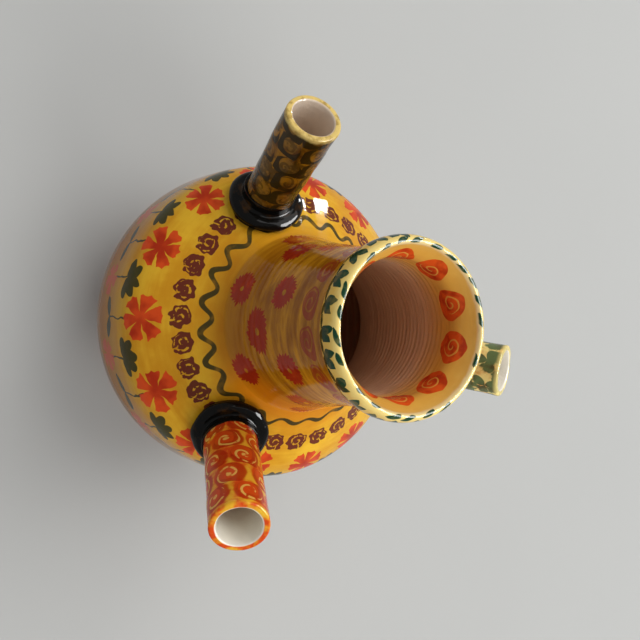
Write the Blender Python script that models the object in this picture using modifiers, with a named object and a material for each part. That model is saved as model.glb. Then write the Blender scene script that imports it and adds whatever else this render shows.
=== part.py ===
"""A thrown pottery vase: round belly, wide lipped neck and three spout tubes on its shoulder.

The pot is made of the pieces that a potter throws or rolls apart and lutes together. Lengths are in
metres and +Z is up. The origin is the centre of the foot's flat underside, and the front, -Y, looks
between the olive spout and the red one.
"""

import math
from collections import namedtuple

import bpy
from mathutils import Matrix, Vector
from mathutils.geometry import interpolate_bezier

# Gap between two pieces that are luted together
CLEARANCE = 0.0003

# Belly: a half ellipse below its widest circle, and a shoulder curve above it
BELLY_RADIUS = 0.105
BELLY_DEPTH = 0.098
BELLY_WALL = 0.006
BASE_RADIUS = 0.043
SHOULDER_RISE = 0.078
SHOULDER_ANGLE = 37
SHOULDER_SIDE_HEIGHT = 0.050
SHOULDER_RUN = 0.0655

# Foot: a flat turned disc under the belly's flat base, which rises a little round the base's edge
FOOT_HEIGHT = 0.0066
FOOT_RADIUS = 0.0505
FOOT_TOP_RADIUS = 0.053
FOOT_EDGE = 0.0008

# Neck, which sits in a stepped seat at the top of the shoulder
SEAT_RADIUS = 0.056
SEAT_DEPTH = 0.0022
SEAT_WIDTH = 0.0045
SPIGOT_LENGTH = 0.003
SPIGOT_WALL = 0.006
NECK_ROOT_CURVE = 0.004
NECK_RADIUS = 0.0443
NECK_FLARE_RISE = 0.092
NECK_FLARE_CURVE = 0.033
NECK_LENGTH = 0.0988
THROAT_RADIUS = 0.038
TONGUE_HEIGHT = 0.003
TONGUE_WIDTH = 0.0025

# Lip: a rolled coil, taller than it is wide, that sits round the neck's tongue
LIP_RADIUS = 0.050
LIP_BULGE = 0.0038
LIP_HALF_HEIGHT = 0.0084
LIP_INNER_RADIUS = 0.0392
LIP_INNER_ROUND = 0.0022
LIP_INNER_DROP = 0.005

# Spouts: rolled tubes that pass through the shoulder
SPOUT_MOUTH_RADIUS = 0.0169
SPOUT_BORE_RADIUS = 0.0125
SPOUT_RIM_EDGE = 0.0014
SPOUT_INSIDE_LENGTH = 0.006

# Each spout's root, where its axis meets the shoulder, lies at an azimuth and at a distance out from the
# edge of the neck's seat. The spout leans outward from there, in the root's direction turned by its swing,
# and its length runs from its root to its mouth. Angles are in degrees.
OLIVE_OFFSET = 0.022
OLIVE_LENGTH = 0.0848
OLIVE_ROOT_RADIUS = 0.0152
OLIVE_COLLAR_RADIUS = 0.0240
RED_OFFSET = 0.0235
RED_LENGTH = 0.0937
RED_ROOT_RADIUS = 0.0170
RED_COLLAR_RADIUS = 0.0245
GREEN_OFFSET = 0.016
GREEN_LENGTH = 0.083
GREEN_ROOT_RADIUS = 0.0160
GREEN_COLLAR_RADIUS = 0.0240
Spout = namedtuple("Spout", "name azimuth offset lean swing length root_radius collar_radius colour")
OLIVE = Spout("olive", -152, OLIVE_OFFSET, 29.5, -8, OLIVE_LENGTH, OLIVE_ROOT_RADIUS, OLIVE_COLLAR_RADIUS,
              colour=(0.22, 0.15, 0.03))
RED = Spout("red", -21, RED_OFFSET, 32.5, -4.5, RED_LENGTH, RED_ROOT_RADIUS, RED_COLLAR_RADIUS,
            colour=(0.62, 0.10, 0.02))
GREEN = Spout("green", 88, GREEN_OFFSET, 35.5, -1, GREEN_LENGTH, GREEN_ROOT_RADIUS, GREEN_COLLAR_RADIUS,
              colour=(0.12, 0.22, 0.08))
SPOUTS = (OLIVE, RED, GREEN)

# Collars: soft clay pressed down round the spouts' roots, a rounded rim with a short sleeve up the tube.
# The rim's curve runs from its top to where it tucks under, in degrees from straight outward.
COLLAR_HEIGHT = 0.016
COLLAR_TOP_WALL = 0.0024
COLLAR_RIM_HEIGHT = 0.0085
COLLAR_RIM_MIDDLE = 0.0044
COLLAR_BULGE = 0.0052
COLLAR_RIM_TOP_ANGLE = 90
COLLAR_RIM_TUCK_ANGLE = -55
COLLAR_SKIRT = 0.007

# How finely the turned shapes are stepped
BODY_STEPS = 60
SPOUT_STEPS = 24
COLLAR_STEPS = 32
LOWER_POINTS = 9
SHOULDER_POINTS = 11
FLARE_POINTS = 7
LIP_POINTS = 6
ROUND_POINTS = 4

MERGE_DISTANCE = 0.00001
CREASE_ANGLE = 35

OCHRE = (0.66, 0.37, 0.05)
CREAM = (0.72, 0.50, 0.16)
BLACK = (0.012, 0.011, 0.008)
GLAZE_ROUGHNESS = 0.12
BARE_CLAY = (0.42, 0.26, 0.16)
BARE_ROUGHNESS = 0.7


def clear_objects():
    for obj in list(bpy.data.objects):
        bpy.data.objects.remove(obj, do_unlink=True)


def new_collection(name):
    collection = bpy.data.collections.new(name)
    bpy.context.scene.collection.children.link(collection)
    return collection


def new_material(name, colour, roughness):
    material = bpy.data.materials.new(name)
    material.use_nodes = True
    shader = material.node_tree.nodes["Principled BSDF"]
    shader.inputs["Base Color"].default_value = (*colour, 1)
    shader.inputs["Roughness"].default_value = roughness
    shader.inputs["Metallic"].default_value = 0
    return material


def spaced(first, last, count):
    """Evenly spaced values from first to last, both included."""
    return [first + (last - first) * i / (count - 1) for i in range(count)]


def arc(centre, half_width, half_height, first, last, count):
    """Points of an ellipse in the profile plane, from one angle to another in degrees."""
    angles = [math.radians(angle) for angle in spaced(first, last, count)]
    return [(centre[0] + half_width * math.cos(angle), centre[1] + half_height * math.sin(angle))
            for angle in angles]


def curve(start, start_handle, end_handle, end, count):
    """Points of a Bezier curve in the profile plane."""
    points = interpolate_bezier(Vector(start), Vector(start_handle), Vector(end_handle), Vector(end), count)
    return [(point.x, point.y) for point in points]


def parallel(outline, distance):
    """The outline moved outward by a distance, for an outline that runs up the pot's outer side."""
    moved = []
    for i, point in enumerate(outline):
        before = Vector(outline[max(i - 1, 0)])
        after = Vector(outline[min(i + 1, len(outline) - 1)])
        along = (after - before).normalized()
        moved.append((point[0] + along.y * distance, point[1] - along.x * distance))
    return moved


def ending_at(outline, radius):
    """The outline with its last point slid along its last stretch to the given radius."""
    before = Vector(outline[-2])
    last = Vector(outline[-1])
    share = (radius - before.x) / (last.x - before.x)
    end = before.lerp(last, share)
    return outline[:-1] + [(end.x, end.y)]


def stretch_at(outline, radius):
    """The first stretch of the outline that passes the given radius, as its two ends."""
    for low, high in zip(outline, outline[1:]):
        if min(low[0], high[0]) <= radius <= max(low[0], high[0]):
            return low, high
    raise ValueError("no stretch of the outline passes this radius")


def height_at(outline, radius):
    """Height of the outline where it passes the given radius."""
    low, high = stretch_at(outline, radius)
    return low[1] + (radius - low[0]) / (high[0] - low[0]) * (high[1] - low[1])


def turned(name, profile, steps, collection, place=Matrix()):
    """A solid turned about its own Z axis.

    The profile is a list of (radius, height) points that runs up the inner side and down the outer one.
    It closes on itself, unless it starts and ends on the axis.
    """
    count = len(profile)
    on_axis = profile[0][0] == 0 and profile[-1][0] == 0
    edges = [(i, i + 1) for i in range(count - 1)]
    if not on_axis:
        edges.append((count - 1, 0))
    mesh = bpy.data.meshes.new(name)
    mesh.from_pydata([(radius, 0, height) for radius, height in profile], edges, [])
    obj = bpy.data.objects.new(name, mesh)
    obj.matrix_world = place
    collection.objects.link(obj)
    screw = obj.modifiers.new("Turn", "SCREW")
    screw.steps = steps
    screw.render_steps = steps
    screw.use_merge_vertices = True
    screw.merge_threshold = MERGE_DISTANCE
    return obj


def as_cutter(obj):
    obj.hide_render = True
    obj.display_type = "WIRE"
    return obj


def cut(obj, cutter):
    boolean = obj.modifiers.new(f"Cut {cutter.name}", "BOOLEAN")
    boolean.operation = "DIFFERENCE"
    boolean.object = cutter


def finish(obj, material):
    """Keep the piece as it is turned and cut, shaded smooth with its creases sharp."""
    shaped = obj.evaluated_get(bpy.context.evaluated_depsgraph_get())
    mesh = bpy.data.meshes.new_from_object(shaped)
    mesh.materials.clear()
    mesh.materials.append(material)
    mesh.shade_smooth()
    mesh.set_sharp_from_angle(angle=math.radians(CREASE_ANGLE))
    obj.modifiers.clear()
    obj.data = mesh


def belly_centre_height():
    """Height of the belly's widest circle, with its flat base on top of the foot."""
    return FOOT_HEIGHT + BELLY_DEPTH * math.sqrt(1 - (BASE_RADIUS / BELLY_RADIUS) ** 2)


def seat_height():
    """Height of the top of the shoulder, where the neck begins."""
    return belly_centre_height() + SHOULDER_RISE


def belly_below_middle():
    base_angle = math.degrees(math.acos(BASE_RADIUS / BELLY_RADIUS))
    centre = (0, belly_centre_height())
    return arc(centre, BELLY_RADIUS, BELLY_DEPTH, -base_angle, 0, LOWER_POINTS)


def belly_above_middle():
    middle = belly_centre_height()
    slope = math.radians(SHOULDER_ANGLE)
    seat = (SEAT_RADIUS, seat_height())
    handle = (seat[0] + SHOULDER_RUN * math.cos(slope), seat[1] - SHOULDER_RUN * math.sin(slope))
    widest = (BELLY_RADIUS, middle)
    return curve(widest, (BELLY_RADIUS, middle + SHOULDER_SIDE_HEIGHT), handle, seat, SHOULDER_POINTS)


def belly_outline():
    """The belly's outer outline, from the edge of its flat base up to the neck's seat."""
    return belly_below_middle() + belly_above_middle()[1:]


def lip_seat_height():
    return seat_height() + NECK_LENGTH


def make_belly(collection):
    opening = SEAT_RADIUS - SEAT_WIDTH
    outer = belly_outline()
    inner = ending_at(parallel(outer, -BELLY_WALL), opening)
    base = outer[0][1]
    ledge = seat_height() - SEAT_DEPTH
    rim = [(opening, ledge), (SEAT_RADIUS, ledge)]
    floor_edge = (inner[0][0], base + BELLY_WALL)
    profile = [(0, floor_edge[1]), floor_edge] + inner[1:] + rim + outer[::-1] + [(0, base)]
    return turned("belly", profile, BODY_STEPS, collection)


def make_foot(collection):
    below_belly = parallel([(0, FOOT_HEIGHT)] + belly_below_middle(), CLEARANCE)
    flat_edge = below_belly[1][0]
    top = [(0, FOOT_HEIGHT - CLEARANCE)]
    top += [(radius, height_at(below_belly, radius))
            for radius in spaced(flat_edge, FOOT_TOP_RADIUS, ROUND_POINTS)]
    outside = [(FOOT_RADIUS, FOOT_EDGE), (FOOT_RADIUS - FOOT_EDGE, 0), (0, 0)]
    return turned("foot", top + outside, BODY_STEPS, collection)


def neck_outer():
    """The neck's outer outline, from its flange at the seat up to the lip."""
    slope = math.radians(SHOULDER_ANGLE)
    start = (SEAT_RADIUS - CLEARANCE, seat_height())
    start_handle = (start[0] - NECK_ROOT_CURVE * math.cos(slope), start[1] + NECK_ROOT_CURVE * math.sin(slope))
    top = (NECK_RADIUS, seat_height() + NECK_FLARE_RISE)
    top_handle = (NECK_RADIUS, top[1] - NECK_FLARE_CURVE)
    flare = curve(start, start_handle, top_handle, top, FLARE_POINTS)
    return flare + [(NECK_RADIUS, lip_seat_height())]


def make_neck(collection):
    outer = neck_outer()
    ledge = seat_height() - SEAT_DEPTH + CLEARANCE
    spigot_radius = SEAT_RADIUS - SEAT_WIDTH - CLEARANCE
    spigot_end = ledge - SPIGOT_LENGTH
    spigot_inner = spigot_radius - SPIGOT_WALL
    throat_height = seat_height() + NECK_FLARE_RISE
    inner = curve((spigot_inner, spigot_end), (spigot_inner - NECK_ROOT_CURVE, spigot_end + NECK_ROOT_CURVE),
                  (THROAT_RADIUS, throat_height - NECK_FLARE_CURVE), (THROAT_RADIUS, throat_height),
                  FLARE_POINTS)
    tongue = THROAT_RADIUS + TONGUE_WIDTH
    top = lip_seat_height()
    tongue_top = top + TONGUE_HEIGHT
    steps = [(THROAT_RADIUS, tongue_top), (tongue, tongue_top), (tongue, top)]
    flange = [(SEAT_RADIUS - CLEARANCE, ledge), (spigot_radius, ledge), (spigot_radius, spigot_end)]
    return turned("neck", inner + steps + outer[::-1] + flange, BODY_STEPS, collection)


def make_lip(collection):
    widest_height = lip_seat_height() + CLEARANCE + LIP_HALF_HEIGHT
    crest_radius = LIP_RADIUS - LIP_BULGE
    crest_height = widest_height + LIP_HALF_HEIGHT
    bead = arc((crest_radius, widest_height), LIP_BULGE, LIP_HALF_HEIGHT, 90, -90, 2 * LIP_POINTS)
    tongue = THROAT_RADIUS + TONGUE_WIDTH + CLEARANCE
    seat = lip_seat_height() + CLEARANCE
    shelf = seat + TONGUE_HEIGHT
    inner = arc((crest_radius, crest_height - LIP_INNER_DROP), LIP_INNER_ROUND, LIP_INNER_DROP,
                180, 90, ROUND_POINTS)
    profile = [(LIP_INNER_RADIUS, shelf)] + inner + bead[1:] + [(tongue, seat), (tongue, shelf)]
    return turned("lip", profile, BODY_STEPS, collection)


def root_distance(spout):
    """Distance of a spout's root from the pot's axis."""
    return SEAT_RADIUS + spout.offset


def root_point(spout):
    """Where a spout's axis meets the shoulder."""
    azimuth = math.radians(spout.azimuth)
    distance = root_distance(spout)
    height = height_at(belly_above_middle(), distance)
    return Vector((distance * math.cos(azimuth), distance * math.sin(azimuth), height))


def leaning(azimuth, lean):
    """A rotation whose Z axis leans from the pot's axis, towards an azimuth, both in degrees."""
    return Matrix.Rotation(math.radians(azimuth), 4, "Z") @ Matrix.Rotation(math.radians(lean), 4, "Y")


def spout_frame(spout):
    """The spout's own frame, with its origin at its root and its Z axis up its bore."""
    return Matrix.Translation(root_point(spout)) @ leaning(spout.azimuth + spout.swing, spout.lean)


def shoulder_lean(spout):
    """Angle between the pot's axis and the shoulder's outward normal at the spout's root."""
    outer, inner = stretch_at(belly_above_middle(), root_distance(spout))
    return math.degrees(math.atan2(inner[1] - outer[1], outer[0] - inner[0]))


def spout_radius(spout, along):
    """Outer radius of a spout at a distance from its root."""
    share = along / spout.length
    return spout.root_radius + (SPOUT_MOUTH_RADIUS - spout.root_radius) * share


def spout_inner_end(spout):
    """How far a spout's inner end lies from its root, through the wall and a little into the belly."""
    tilt = math.radians(shoulder_lean(spout) - spout.lean)
    wall_along_axis = BELLY_WALL / math.cos(tilt)
    return -(wall_along_axis + SPOUT_INSIDE_LENGTH)


def make_spout(spout, collection):
    inner_end = spout_inner_end(spout)
    bore = SPOUT_BORE_RADIUS
    edge = SPOUT_RIM_EDGE
    mouth = spout.length
    rim = arc((bore + edge, mouth - edge), edge, edge, 180, 90, ROUND_POINTS)
    rim += arc((SPOUT_MOUTH_RADIUS - edge, mouth - edge), edge, edge, 90, 0, ROUND_POINTS)
    profile = [(bore, inner_end)] + rim + [(spout_radius(spout, inner_end), inner_end)]
    name = f"spout_{spout.name}"
    return turned(name, profile, SPOUT_STEPS, collection, spout_frame(spout))


def spout_cutter(spout, collection):
    """The spout's outside, grown by the clearance, from inside the belly to past its collar."""
    low = spout_inner_end(spout) - SPOUT_INSIDE_LENGTH
    high = COLLAR_HEIGHT + spout.collar_radius
    profile = [(0, high)]
    profile += [(spout_radius(spout, along) + CLEARANCE, along) for along in (high, low)]
    profile += [(0, low)]
    name = f"cutter_spout_{spout.name}"
    return as_cutter(turned(name, profile, SPOUT_STEPS, collection, spout_frame(spout)))


def pot_cutter(collection):
    """The outside of belly and neck, grown by the clearance and filled, which the collars are pressed on."""
    grown = parallel(belly_outline() + neck_outer()[1:], CLEARANCE)
    profile = [(0, grown[-1][1])] + grown[::-1] + [(0, grown[0][1])]
    return as_cutter(turned("cutter_pot", profile, BODY_STEPS, collection))


def collar_frame(spout):
    """A frame square to the shoulder, whose Z axis meets the spout's axis at the collar's rim."""
    square = leaning(spout.azimuth, shoulder_lean(spout))
    to_rim = Vector((0, 0, COLLAR_RIM_HEIGHT))
    rim_centre = spout_frame(spout) @ to_rim
    return Matrix.Translation(rim_centre - square @ to_rim) @ square


def make_collar(spout, pot_shape, spout_shape, collection):
    """A rounded rim on the shoulder that sweeps up into a sleeve round the tube."""
    rim_centre = (spout.collar_radius - COLLAR_BULGE, COLLAR_RIM_MIDDLE)
    rim = arc(rim_centre, COLLAR_BULGE, COLLAR_RIM_HEIGHT - COLLAR_RIM_MIDDLE,
              COLLAR_RIM_TOP_ANGLE, COLLAR_RIM_TUCK_ANGLE, 2 * ROUND_POINTS)
    sleeve_top = (spout_radius(spout, COLLAR_HEIGHT) + COLLAR_TOP_WALL, COLLAR_HEIGHT)
    sleeve_foot = (sleeve_top[0], COLLAR_RIM_HEIGHT)
    sleeve = curve(sleeve_top, sleeve_foot, sleeve_foot, rim[0], ROUND_POINTS)
    profile = [(0, COLLAR_HEIGHT)] + sleeve + rim[1:] + [(rim[-1][0], -COLLAR_SKIRT), (0, -COLLAR_SKIRT)]
    collar = turned(f"collar_{spout.name}", profile, COLLAR_STEPS, collection, collar_frame(spout))
    cut(collar, pot_shape)
    cut(collar, spout_shape)
    return collar


def main():
    clear_objects()
    pieces = new_collection("pottery_vase")
    cutters = new_collection("cutters")
    belly = make_belly(pieces)
    pot_shape = pot_cutter(cutters)
    for spout in SPOUTS:
        spout_shape = spout_cutter(spout, cutters)
        cut(belly, spout_shape)
        collar = make_collar(spout, pot_shape, spout_shape, pieces)
        finish(collar, new_material(f"black_glaze_{spout.name}", BLACK, GLAZE_ROUGHNESS))
        tube = make_spout(spout, pieces)
        finish(tube, new_material(f"{spout.name}_glaze", spout.colour, GLAZE_ROUGHNESS))
    finish(belly, new_material("belly_glaze", OCHRE, GLAZE_ROUGHNESS))
    finish(make_foot(pieces), new_material("bare_clay", BARE_CLAY, BARE_ROUGHNESS))
    finish(make_neck(pieces), new_material("neck_glaze", OCHRE, GLAZE_ROUGHNESS))
    finish(make_lip(pieces), new_material("lip_glaze", CREAM, GLAZE_ROUGHNESS))


if __name__ == "__main__":
    main()
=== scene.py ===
"""A thrown, painted and glazed pottery vase with three spouts, and the studio that it stands in.

Each operator makes one piece, or a group of like pieces, over the plain turned one: the skin is turned ring
by ring in edit mode, and its glaze is painted with nodes on the piece's own coordinates. Lengths are in
metres. "arc" is the distance along a piece's outline, and "thrown" is a place on it before it leans.
"""

import math
from collections import namedtuple
from functools import reduce

import bpy
from bpy.props import FloatProperty, FloatVectorProperty, IntProperty, PointerProperty
from mathutils import Matrix, Quaternion, Vector, noise


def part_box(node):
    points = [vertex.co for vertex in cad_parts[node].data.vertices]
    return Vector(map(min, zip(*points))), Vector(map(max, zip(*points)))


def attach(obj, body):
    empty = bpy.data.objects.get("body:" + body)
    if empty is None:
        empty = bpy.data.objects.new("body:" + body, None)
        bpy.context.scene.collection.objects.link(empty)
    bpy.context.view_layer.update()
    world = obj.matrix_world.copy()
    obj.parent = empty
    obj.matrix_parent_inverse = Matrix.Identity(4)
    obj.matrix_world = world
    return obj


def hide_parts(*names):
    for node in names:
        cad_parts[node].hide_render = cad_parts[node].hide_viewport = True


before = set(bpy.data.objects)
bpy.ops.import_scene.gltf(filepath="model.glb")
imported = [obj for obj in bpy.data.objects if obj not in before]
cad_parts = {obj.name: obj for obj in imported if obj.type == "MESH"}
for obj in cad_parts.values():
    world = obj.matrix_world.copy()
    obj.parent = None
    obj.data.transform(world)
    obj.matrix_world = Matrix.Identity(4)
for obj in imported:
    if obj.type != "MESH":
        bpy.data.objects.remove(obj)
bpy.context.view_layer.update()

bl_info = {
    "name": "Pottery vase",
    "version": (1, 0, 0),
    "blender": (4, 5, 0),
    "location": "View3D > Sidebar > Vase",
    "description": "Turns, joins, paints and glazes a round vase with three spouts",
    "category": "Add Mesh",
}

BELLY_LOW, BELLY_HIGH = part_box("belly")
LIP_LOW, LIP_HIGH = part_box("lip")
FOOT_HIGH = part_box("foot")[1]

SPOUT_NAMES = ("olive", "red", "green")
CREASE = math.radians(38)
MERGE_DISTANCE = 0.000005
HALF_TURN = 180
WHOLE_TURN = 360

# Points along the outlines, and faces round the tubes and the collars
LOWER_POINTS = 26
SHOULDER_POINTS = 40
FLARE_POINTS = 100
THROAT_POINTS = 140
TUBE_STEPS = 64
COLLAR_STEPS = 96

# Where the neck's throwing rings start, and how far they fade in above the belly and out below the lip
RINGS_START = 0.006
RINGS_FADE_IN = 0.030
RINGS_FADE_OUT = 0.012

# A vertex nearer to the pot's axis than this is a pole, which nothing moves
POLE_RADIUS = 0.001

# How the belly, neck and lip are turned where they meet
NECK_UNDER_LIP = 0.0019
LEDGE_THICKNESS = 0.004
LEDGE_INSET = 0.0004
FLOOR_CORNER = 0.004
SPIGOT_BORE = 0.0455
SPIGOT_DEPTH = 0.0049
SPIGOT_GAP = 0.0003
FLANGE_INSET = 0.0005
FLANGE_DEPTH = 0.0018
STRAIGHT_THROAT = 0.006
LIP_FLARE = 0.006
LIP_UNDERCUT = 0.004
LIP_LIFT = 0.0002

# How far an arc must be past the skin's edge to count as inside the belly or the throat
BELLY_MARGIN = 0.0001
THROAT_MARGIN = 0.0005

# The holes for the spouts: how much narrower than the tube, and how far they reach along it
HOLE_INSET = 0.0012
HOLE_REACH = 0.03

# The foot: how much of the belly's base it covers, from which radius, its waist, its radius and its hollow
COVER_START = 0.02
COVER_RADIUS = 0.053
COVER_HEIGHT = 0.02
WAIST_RADIUS = 0.0555
WAIST_DEPTH = 0.0042
FOOT_RADIUS = 0.0505
FOOT_HOLLOW = [(0.040, 0.0), (0.038, 0.0006), (0.010, 0.0007), (0, 0.0007)]

# The collars: the heights of their undersides and how far these go in, how far they bite into the tube, the
# round end of their sleeves, and how the sleeve's curve leaves its top and meets the rim
COLLAR_LOW = -0.0045
COLLAR_FOOT = -0.0022
COLLAR_TUCK = 0.0006
COLLAR_BITE = 0.002
SLEEVE_ROUND = 0.0007
SLEEVE_EASE = 0.0004
SLEEVE_WAIST = 0.0024
RIM_REACH = 0.0036

# Depth and grain of the dents that hands leave in the rolled pieces
TUBE_DENTS = (0.0005, 0.016)
COLLAR_DENTS = (0.0007, 0.011)


def degrees(*angles):
    """Angles in degrees as the radians that Blender's angle properties hold."""
    return tuple(math.radians(angle) for angle in angles)


def shade(red, green, blue):
    """A colour read off a screen, 0 to 255, as the linear one that a glaze takes."""
    linear = []
    for level in (red, green, blue):
        share = level / 255
        linear.append(share / 12.92 if share <= 0.04045 else ((share + 0.055) / 1.055) ** 2.4)
    return tuple(linear)


def plain(name, default, description):
    return FloatProperty(name=name, description=description, default=default)


def length(name, default, description):
    return FloatProperty(name=name, description=description, default=default, unit="LENGTH", precision=5)


def lengths(name, default, description):
    return FloatVectorProperty(name=name, description=description, default=default, unit="LENGTH",
                               precision=5)


def angles(name, default, description):
    return FloatVectorProperty(name=name, description=description, default=degrees(*default),
                               unit="ROTATION")


def colour(name, default, description):
    return FloatVectorProperty(name=name, description=description, default=shade(*default), min=0, max=1,
                               subtype="COLOR")


class ThrownBodySettings(bpy.types.PropertyGroup):
    """Sizes of the belly, foot, neck and lip."""

    belly_wall: length("Belly wall", 0.006, "Thickness of the belly's wall")
    belly_depth: length("Belly depth", 0.098, "Half height of the ellipse below the belly's widest circle")
    base_radius: length("Base radius", 0.043, "Radius of the belly's flat base")
    shoulder_slope: FloatProperty(name="Shoulder slope", description="Slope of the shoulder at the neck",
                                  default=math.radians(37), unit="ROTATION")
    shoulder_side: length("Shoulder side", 0.050, "How far up the side the shoulder's curve stays upright")
    shoulder_run: length("Shoulder run", 0.0655, "How far out from the neck the shoulder stays straight")
    seat_radius: length("Neck seat radius", 0.056, "Radius where the neck's root meets the shoulder")
    seat_width: length("Neck seat width", 0.0045, "Width of the seat that the neck stands in")
    seat_depth: length("Neck seat depth", 0.0022, "Depth of the seat that the neck stands in")
    root_curve: length("Root curve", 0.004, "How far the neck's root follows the shoulder")
    flare_rise: length("Flare rise", 0.092, "Height at which the neck has narrowed")
    flare_curve: length("Flare curve", 0.033, "How soon the neck narrows")
    throat_radius: length("Throat radius", 0.038, "Inner radius of the neck")
    lip_bulge: length("Lip bulge", 0.0038, "Half thickness of the rolled lip")
    lip_round: length("Lip round", 0.0020, "Width of the rounding on the lip's inner edge")
    lip_drop: length("Lip drop", 0.0024, "Height of the rounding on the lip's inner edge")
    foot_edge: length("Foot edge", 0.0008, "Wear on the foot's bottom edge")
    unevenness: length("Unevenness", 0.0002, "How far a hand-thrown wall strays from a true circle")
    ring_gap: length("Ring gap", 0.0052, "Distance between the throwing rings on the neck")
    ring_depth: length("Ring depth", 0.00008, "Depth of the throwing rings on the neck")
    throat_ring_gap: length("Throat ring gap", 0.0038, "Distance between the throwing rings in the throat")
    throat_ring_depth: length("Throat ring depth", 0.00022, "Depth of the throwing rings in the throat")
    steps: IntProperty(name="Steps", description="Faces round the thrown pieces", default=128, min=24)


class SpoutSettings(bpy.types.PropertyGroup):
    """Sizes of the olive, red and green spouts and their collars, in that order."""

    azimuth: angles("Azimuth", (-152, -21, 88), "Direction of the spout's root from the pot's axis")
    swing: angles("Swing", (-8, -4.5, -1), "How far the spout turns from that direction")
    lean: angles("Lean", (29.5, 32.5, 35.5), "How far the spout leans out")
    offset: lengths("Offset", (0.022, 0.0235, 0.016), "Distance of the root from the neck's seat")
    tube: lengths("Length", (0.0848, 0.0937, 0.083), "Length of the tube from its root to its mouth")
    root_radius: lengths("Root radius", (0.0152, 0.0170, 0.0160), "Outer radius of the tube at its root")
    mouth_radius: length("Mouth radius", 0.0169, "Outer radius of the tube at its mouth")
    bore_radius: length("Bore radius", 0.0125, "Inner radius of the tube")
    rim_edge: length("Rim edge", 0.0014, "Rounding of the tube's rim")
    inside: length("Inside length", 0.0125, "How far the tube goes in below its root")
    collar_radius: lengths("Collar radius", (0.0240, 0.0245, 0.0240), "Outer radius of the collar")
    collar_height: length("Collar height", 0.016, "Height of the sleeve that climbs the tube")
    collar_wall: length("Collar wall", 0.0009, "Thickness of the sleeve's top")
    collar_bulge: length("Collar bulge", 0.0052, "Roundness of the collar's rim")
    rim_height: length("Rim height", 0.0085, "Height of the collar's rim")
    rim_middle: length("Rim middle", 0.0044, "Height at which the collar's rim is widest")


class GlazeSettings(bpy.types.PropertyGroup):
    """Colours of the slips, stains and glazes."""

    honey: colour("Honey", (230, 180, 46), "Light yellow of the belly's ground")
    ochre: colour("Ochre", (206, 142, 26), "Darker yellow of the belly's ground")
    orange: colour("Orange", (206, 112, 10), "Orange wash between belly and neck")
    # Amber is also laid as painted shade low on the belly and on the orange wash's -Y side.
    amber: colour("Amber", (134, 76, 10), "Brown yellow of the neck")
    cream: colour("Cream", (244, 219, 136), "Cream yellow of the lip")
    wave: colour("Wave", (50, 49, 24), "Olive green of the wavy line")
    rose: colour("Rose", (98, 33, 28), "Maroon of the roses")
    petal: colour("Petal", (172, 32, 12), "Deep red of the petals")
    petal_tip: colour("Petal tip", (214, 68, 24), "Orange of the petals' tips")
    low_flower: colour("Low flower", (186, 70, 50), "Pink red of the low flowers")
    leaf: colour("Leaf", (34, 46, 24), "Dark green of the leaves")
    daisy: colour("Daisy", (148, 28, 16), "Red of the daisies")
    spiral: colour("Spiral", (212, 72, 22), "Orange red of the spirals inside the mouth")
    old_spiral: colour("Faded spiral", (140, 46, 24), "Faded red of the spirals under the lip")
    lip_leaf: colour("Lip leaf", (6, 62, 42), "Blue green of the lip's leaves")
    # Its pink brown also browns the spouts' bores further in, as painted shade.
    throat: colour("Throat", (206, 168, 136), "Pink brown of the bare throat")
    olive: colour("Olive", (46, 36, 12), "Dark olive of the olive tube")
    tan: colour("Tan", (150, 108, 42), "Tan that shows through in the olive tube's curls")
    red: colour("Red", (198, 50, 16), "Orange red of the red tube")
    green: colour("Green", (28, 90, 56), "Green of the green tube")
    # White also draws the painted highlight line along the lip's crest.
    white: colour("White", (236, 229, 214), "Whitish glaze in the bores")
    black: colour("Black", (14, 13, 11), "Black of the collars")
    clay: colour("Clay", (186, 128, 92), "Fired clay of the foot")


class StudioSettings(bpy.types.PropertyGroup):
    """The floor, the lights and the camera."""

    floor: colour("Floor", (181, 181, 178), "Pale floor")
    sky: colour("Sky", (205, 207, 210), "Pale surroundings")
    window: plain("Window", 340.0, "Power of the window's panes, in watts a square metre")
    side: plain("Side light", 66.0, "Power of the soft light from the right, in watts")
    rim: plain("Rim light", 90.0, "Power of the panel that only glints on rims, in watts")
    soft: plain("Soft light", 106.0, "Power of the large soft light, in watts")
    fill: plain("Fill", 0.66, "Strength of the light from all round")
    lens: plain("Lens", 50.75, "Focal length in millimetres")
    camera_place: lengths("Camera place", (0.0448, -0.2777, 0.6679), "Where the camera stands")
    camera_turn: angles("Camera turn", (-1.43, -30.62, 102.49), "How the camera is turned")


# Outlines, as (radius, height) points


def spaced(first, last, count):
    """Evenly spaced values from first to last, both included."""
    return [first + (last - first) * i / (count - 1) for i in range(count)]


def ellipse(centre, half_width, half_height, first, last, count):
    """Points of an ellipse from one angle to another, in degrees."""
    turns = degrees(*spaced(first, last, count))
    return [(centre[0] + half_width * math.cos(turn), centre[1] + half_height * math.sin(turn))
            for turn in turns]


def bend(ends, shares):
    """Points of the Bezier curve with these four ends and handles, at these shares of its run."""
    points = []
    for share in shares:
        rest = 1 - share
        weights = (rest ** 3, 3 * rest ** 2 * share, 3 * rest * share ** 2, share ** 3)
        points.append(tuple(sum(weight * end[side] for weight, end in zip(weights, ends))
                            for side in (0, 1)))
    return points


def close_to_end(count, power=1.5):
    """Shares from 0 to 1 that lie closer together towards 1."""
    return [1 - (1 - share) ** power for share in spaced(0, 1, count)]


def close_to_start(count, power=1.5):
    """Shares from 0 to 1 that lie closer together towards 0."""
    return [share ** power for share in spaced(0, 1, count)]


def beside(outline, distance):
    """The outline moved outward by a distance, for an outline that runs up an outer side."""
    moved = []
    for i, point in enumerate(outline):
        before = Vector(outline[max(i - 1, 0)])
        after = Vector(outline[min(i + 1, len(outline) - 1)])
        along = (after - before).normalized()
        moved.append((point[0] + along.y * distance, point[1] - along.x * distance))
    return moved


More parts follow.
